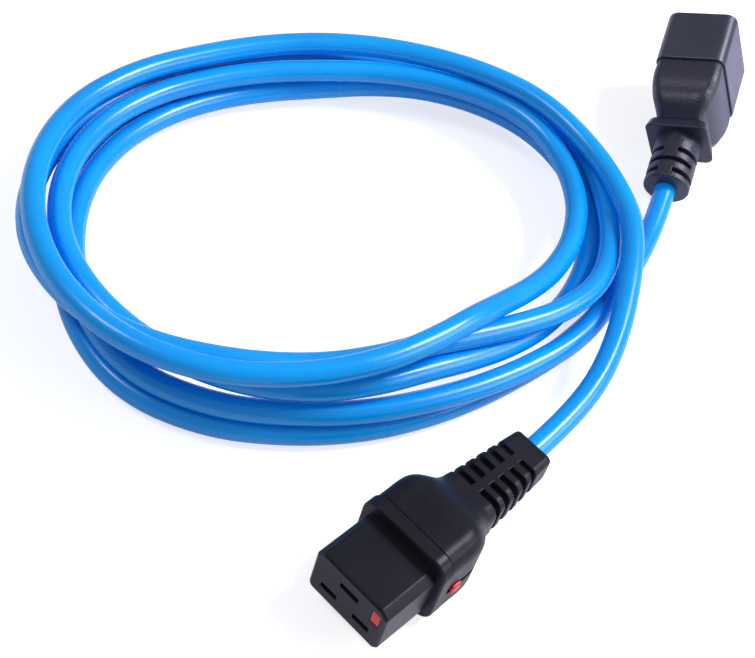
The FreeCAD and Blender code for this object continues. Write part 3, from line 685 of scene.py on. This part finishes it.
# Brass blades, nickel plated: pale grey, a soft brushed shine.
PLATED = metal("nickel_plated_brass_blade", "A9A6A0", "C2C0BA", rough=0.26, line=0.3, depth=0.003,
               stretch=(1.0, 0.1, 1.0))
# Spring steel, hardened and oiled: dark grey.
STEEL = metal("spring_steel_oiled", "6B6D70", "8B8D90", rough=0.34, line=0.25, depth=0.004,
              stretch=(0.2, 1.0, 1.0))


def core(name, base, stripe=False):
    """Extruded core insulation: even colour with a fine die skin, and for earth a second colour in
    bands some 4 mm wide."""
    material, tree, shader, place = blank(name)
    skin = add(tree, "ShaderNodeTexNoise",
               {"Vector": place, "Scale": 1000 / 0.6, "Detail": 2.0, "Roughness": 0.5})
    band = add(tree, "ShaderNodeTexWave", {"Vector": place, "Scale": 1000 / 25, "Distortion": 0.6},
               wave_type="BANDS", bands_direction="DIAGONAL")
    ramp = add(tree, "ShaderNodeValToRGB", {"Fac": band.outputs["Fac"] if stripe else skin.outputs["Fac"]})
    ramp.color_ramp.elements[0].position = 0.45
    ramp.color_ramp.elements[0].color = colour(base[0])
    ramp.color_ramp.elements[1].position = 0.55
    ramp.color_ramp.elements[1].color = colour(base[1])
    tree.links.new(ramp.outputs["Color"], shader.inputs["Base Color"])
    bump = add(tree, "ShaderNodeBump",
               {"Height": skin.outputs["Fac"], "Strength": 1.0, "Distance": 0.005 * MM})
    tree.links.new(bump.outputs["Normal"], shader.inputs["Normal"])
    shader.inputs["Roughness"].default_value = 0.4
    shader.inputs["IOR"].default_value = 1.53
    return material


CORE_BROWN = core("pvc_core_extruded_brown", ("5A3016", "683A1C"))
CORE_BLUE = core("pvc_core_extruded_blue", ("1C4FA6", "2560BC"))
CORE_GREEN = core("pvc_core_extruded_green_yellow", ("2E7D32", "E0C81E"), stripe=True)


def paper():
    """Studio paper: almost white with a barely visible tooth about 1 mm across, and a faint glow for
    what looks straight at it, so that it shows white without lighting the object."""
    material, tree, shader, place = blank("studio_paper")
    tooth = add(tree, "ShaderNodeTexNoise",
                {"Vector": place, "Scale": 1000 / 1.2, "Detail": 2.0, "Roughness": 0.5})
    ramp = add(tree, "ShaderNodeValToRGB", {"Fac": tooth.outputs["Fac"]})
    ramp.color_ramp.elements[0].color = colour("CDCDD1")
    ramp.color_ramp.elements[1].color = colour("D5D5D9")
    tree.links.new(ramp.outputs["Color"], shader.inputs["Base Color"])
    shader.inputs["Roughness"].default_value = 0.9
    shader.inputs["Specular IOR Level"].default_value = 0.1
    ray = add(tree, "ShaderNodeLightPath", {})
    seen = add(tree, "ShaderNodeMath",
               {0: ray.outputs["Is Camera Ray"], 1: ray.outputs["Is Glossy Ray"]}, operation="ADD")
    seen = add(tree, "ShaderNodeMath",
               {0: seen.outputs["Value"], 1: ray.outputs["Is Transmission Ray"]}, operation="ADD")
    glow = add(tree, "ShaderNodeMath", {0: seen.outputs["Value"], 1: GLOW}, operation="MULTIPLY")
    tree.links.new(glow.outputs["Value"], shader.inputs["Emission Strength"])
    # Reflections see the glow violet-grey: a painted violet cast on what the black plastics mirror.
    cool = add(tree, "ShaderNodeValToRGB", {"Fac": ray.outputs["Is Glossy Ray"]})
    cool.color_ramp.elements[0].color = colour("FFFFFF")
    cool.color_ramp.elements[1].color = colour("B0B0C8")
    tree.links.new(cool.outputs["Color"], shader.inputs["Emission Color"])
    return material


# ------------------------------------------------------------------ dressing the parts
def dress(piece, material):
    """The piece wears this material alone."""
    piece.data.materials.clear()
    piece.data.materials.append(material)


def fit(piece, material, body, slot, *stands_for):
    """A finished piece rides on its body and stands for the solids that it covers."""
    dress(piece, material)
    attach(piece, body)
    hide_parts(*stands_for)
    return piece


cord = fit(make_cord(), BLUE, "connector", "cord_blue", "cord_coil", "cord_lead", "cord_tail")
fit(make_socket(), HARD_BLACK, "connector", "hard_black", "socket_block")
fit(make_grip(), SOFT_BLACK, "connector", "soft_black", "connector_body")
fit(make_lock(), RED, "lock_release", "lock_red", "lock_slider")
shroud = fit(make_shroud(), PLUG_HARD, "connector", "hard_black", "plug_shroud")
plug_grip = fit(make_plug_grip(), PLUG_SOFT, "connector", "soft_black", "plug_body")

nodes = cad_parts
for name, material in {
    "contact_carrier": NATURAL, "lock_plate": STEEL, "slider_spring": STEEL,
    "line_contact": BRASS, "neutral_contact": BRASS, "earth_contact": BRASS,
    "plug_line_pin": PLATED, "plug_neutral_pin": PLATED, "plug_earth_pin": PLATED,
    "line_core": CORE_BROWN, "neutral_core": CORE_BLUE, "earth_core": CORE_GREEN,
    "plug_line_core": CORE_BROWN, "plug_neutral_core": CORE_BLUE, "plug_earth_core": CORE_GREEN,
}.items():
    dress(nodes[name], material)


# ------------------------------------------------------------------ studio
def floor():
    """A square of paper, wide enough for low views, its surface a hair under the floor's level."""
    half = 8.0
    corners = [(-half, -half, 0), (half, -half, 0), (half, half, 0), (-half, half, 0)]
    mesh = bpy.data.meshes.new("floor")
    mesh.from_pydata(corners, [], [(0, 1, 2, 3)])
    obj = bpy.data.objects.new("floor", mesh)
    bpy.context.scene.collection.objects.link(obj)
    obj.location.z = -0.0004
    obj.data.materials.append(paper())


def softbox(name, at, aim, size, power):
    """A square area lamp at a point, facing another; power in watts."""
    data = bpy.data.lights.new(name, "AREA")
    data.shape = "RECTANGLE"
    data.size, data.size_y = size
    data.energy = power
    obj = bpy.data.objects.new(name, data)
    bpy.context.scene.collection.objects.link(obj)
    obj.location = at
    obj.rotation_euler = (Vector(aim) - Vector(at)).to_track_quat("-Z", "Y").to_euler()


floor()
softbox("key", (0.40, 0.85, 1.20), (-0.05, 0.05, 0.0), (0.45, 0.45), 17)
softbox("side", (1.15, 0.80, 0.65), (-0.02, 0.08, 0.02), (1.0, 0.6), 8)
softbox("front", (-0.75, -0.55, 1.35), (-0.08, 0.08, 0.0), (0.4, 0.4), 5.5)

AIR, AIR_SEEN, AIR_MIRRORED = 0.29, 0.66, 0.04  # its light, and what the eye and gloss see on top
world = bpy.data.worlds.new("studio_air")
bpy.context.scene.world = world
world.use_nodes = True
air = world.node_tree.nodes["Background"]
air.inputs["Color"].default_value = (0.90, 0.92, 1.0, 1)
# What looks straight into the air sees it as pale as the paper; reflections see a little of that.
ray = add(world.node_tree, "ShaderNodeLightPath", {})
plain = add(world.node_tree, "ShaderNodeMath",
            {0: ray.outputs["Is Camera Ray"], 1: ray.outputs["Is Transmission Ray"]}, operation="ADD")
plain = add(world.node_tree, "ShaderNodeMath",
            {0: plain.outputs["Value"], 1: AIR_SEEN, 2: AIR}, operation="MULTIPLY_ADD")
glossy = add(world.node_tree, "ShaderNodeMath",
             {0: ray.outputs["Is Glossy Ray"], 1: AIR_MIRRORED, 2: plain.outputs["Value"]},
             operation="MULTIPLY_ADD")
world.node_tree.links.new(glossy.outputs["Value"], air.inputs["Strength"])
bpy.context.scene.view_settings.view_transform = "Standard"
